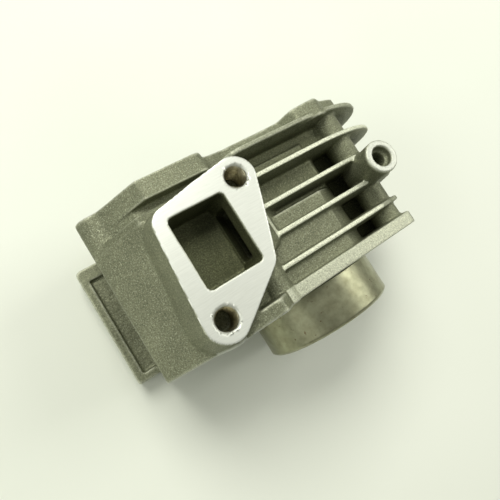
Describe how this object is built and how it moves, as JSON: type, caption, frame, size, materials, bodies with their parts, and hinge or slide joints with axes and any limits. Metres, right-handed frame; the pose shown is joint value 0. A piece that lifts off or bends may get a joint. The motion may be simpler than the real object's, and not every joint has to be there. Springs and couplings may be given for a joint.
{
  "type": "cylinder head",
  "caption": "Finned one-piece cylinder and head of a small four-stroke engine with liner, ports, overhead valves, rockers and pushrods, for bolting to a crankcase",
  "frame": {"origin": "centre of the footprint, on the plane the part lies on", "axes": "+X from the pushrod side towards the spark-plug end, +Y along the bore from the base gasket face to the valve-cover face, +Z out of the exhaust flange"},
  "size_m": [0.1084, 0.063, 0.057],
  "materials": {
    "cast": "die-cast, fine grain, machined joint faces",
    "iron": "turned, lightly stained",
    "steel": "ground",
    "dark": "black oxide steel",
    "spring": "oil-tempered spring wire",
    "bronze": "bored",
    "seal": "moulded"
  },
  "bodies": {
    "casting": {"cylinder_head_casting": "cast", "cylinder_liner": "iron", "rocker_shaft": "steel", "rocker_shaft_pin": "steel", "rocker_spacer": "dark", "intake_stem_seal": "seal", "exhaust_valve_seat": "iron", "exhaust_valve_guide": "bronze", "exhaust_spring_seat": "steel", "exhaust_valve_spring": "spring", "exhaust_thrust_washer": "steel", "intake_valve_seat": "iron", "intake_valve_guide": "bronze", "intake_spring_seat": "steel", "intake_valve_spring": "spring", "intake_thrust_washer": "steel"},
    "exhaust_rocker": {"exhaust_rocker_arm": "dark", "exhaust_adjusting_screw": "steel", "exhaust_lock_nut": "steel"},
    "exhaust_valve_set": {"exhaust_valve": "steel", "exhaust_spring_retainer": "dark", "exhaust_keeper_a": "steel", "exhaust_keeper_b": "steel"},
    "exhaust_pushrod_set": {"exhaust_pushrod": "steel"},
    "intake_rocker": {"intake_rocker_arm": "dark", "intake_adjusting_screw": "steel", "intake_lock_nut": "steel"},
    "intake_valve_set": {"intake_valve": "steel", "intake_spring_retainer": "dark", "intake_keeper_a": "steel", "intake_keeper_b": "steel"},
    "intake_pushrod_set": {"intake_pushrod": "steel"}
  },
  "joints": [
    {"name": "exhaust_rocker_turn", "type": "hinge", "parent": "casting", "child": "exhaust_rocker", "pos_m": [-0.0148, 0.0245, 0.0336], "axis": [0, 0, -1], "range_deg": [0, 10.7]},
    {"name": "exhaust_valve_lift", "type": "slide", "parent": "casting", "child": "exhaust_valve_set", "axis": [0, -1, 0], "range_m": [0, 0.003], "deforming": ["exhaust_valve_spring"]},
    {"name": "exhaust_pushrod_lift", "type": "slide", "parent": "casting", "child": "exhaust_pushrod_set", "axis": [0, 1, 0], "range_m": [0, 0.0032]},
    {"name": "intake_rocker_turn", "type": "hinge", "parent": "casting", "child": "intake_rocker", "pos_m": [-0.0148, 0.0245, 0.0164], "axis": [0, 0, -1], "range_deg": [0, 10.7]},
    {"name": "intake_valve_lift", "type": "slide", "parent": "casting", "child": "intake_valve_set", "axis": [0, -1, 0], "range_m": [0, 0.003], "deforming": ["intake_valve_spring"]},
    {"name": "intake_pushrod_lift", "type": "slide", "parent": "casting", "child": "intake_pushrod_set", "axis": [0, 1, 0], "range_m": [0, 0.0032]}
  ],
  "couplings": [
    {"joint": "exhaust_valve_lift", "follows": "exhaust_rocker_turn", "m_per_rad": 0.016},
    {"joint": "exhaust_pushrod_lift", "follows": "exhaust_rocker_turn", "m_per_rad": 0.017},
    {"joint": "intake_valve_lift", "follows": "intake_rocker_turn", "m_per_rad": 0.016},
    {"joint": "intake_pushrod_lift", "follows": "intake_rocker_turn", "m_per_rad": 0.017}
  ]
}
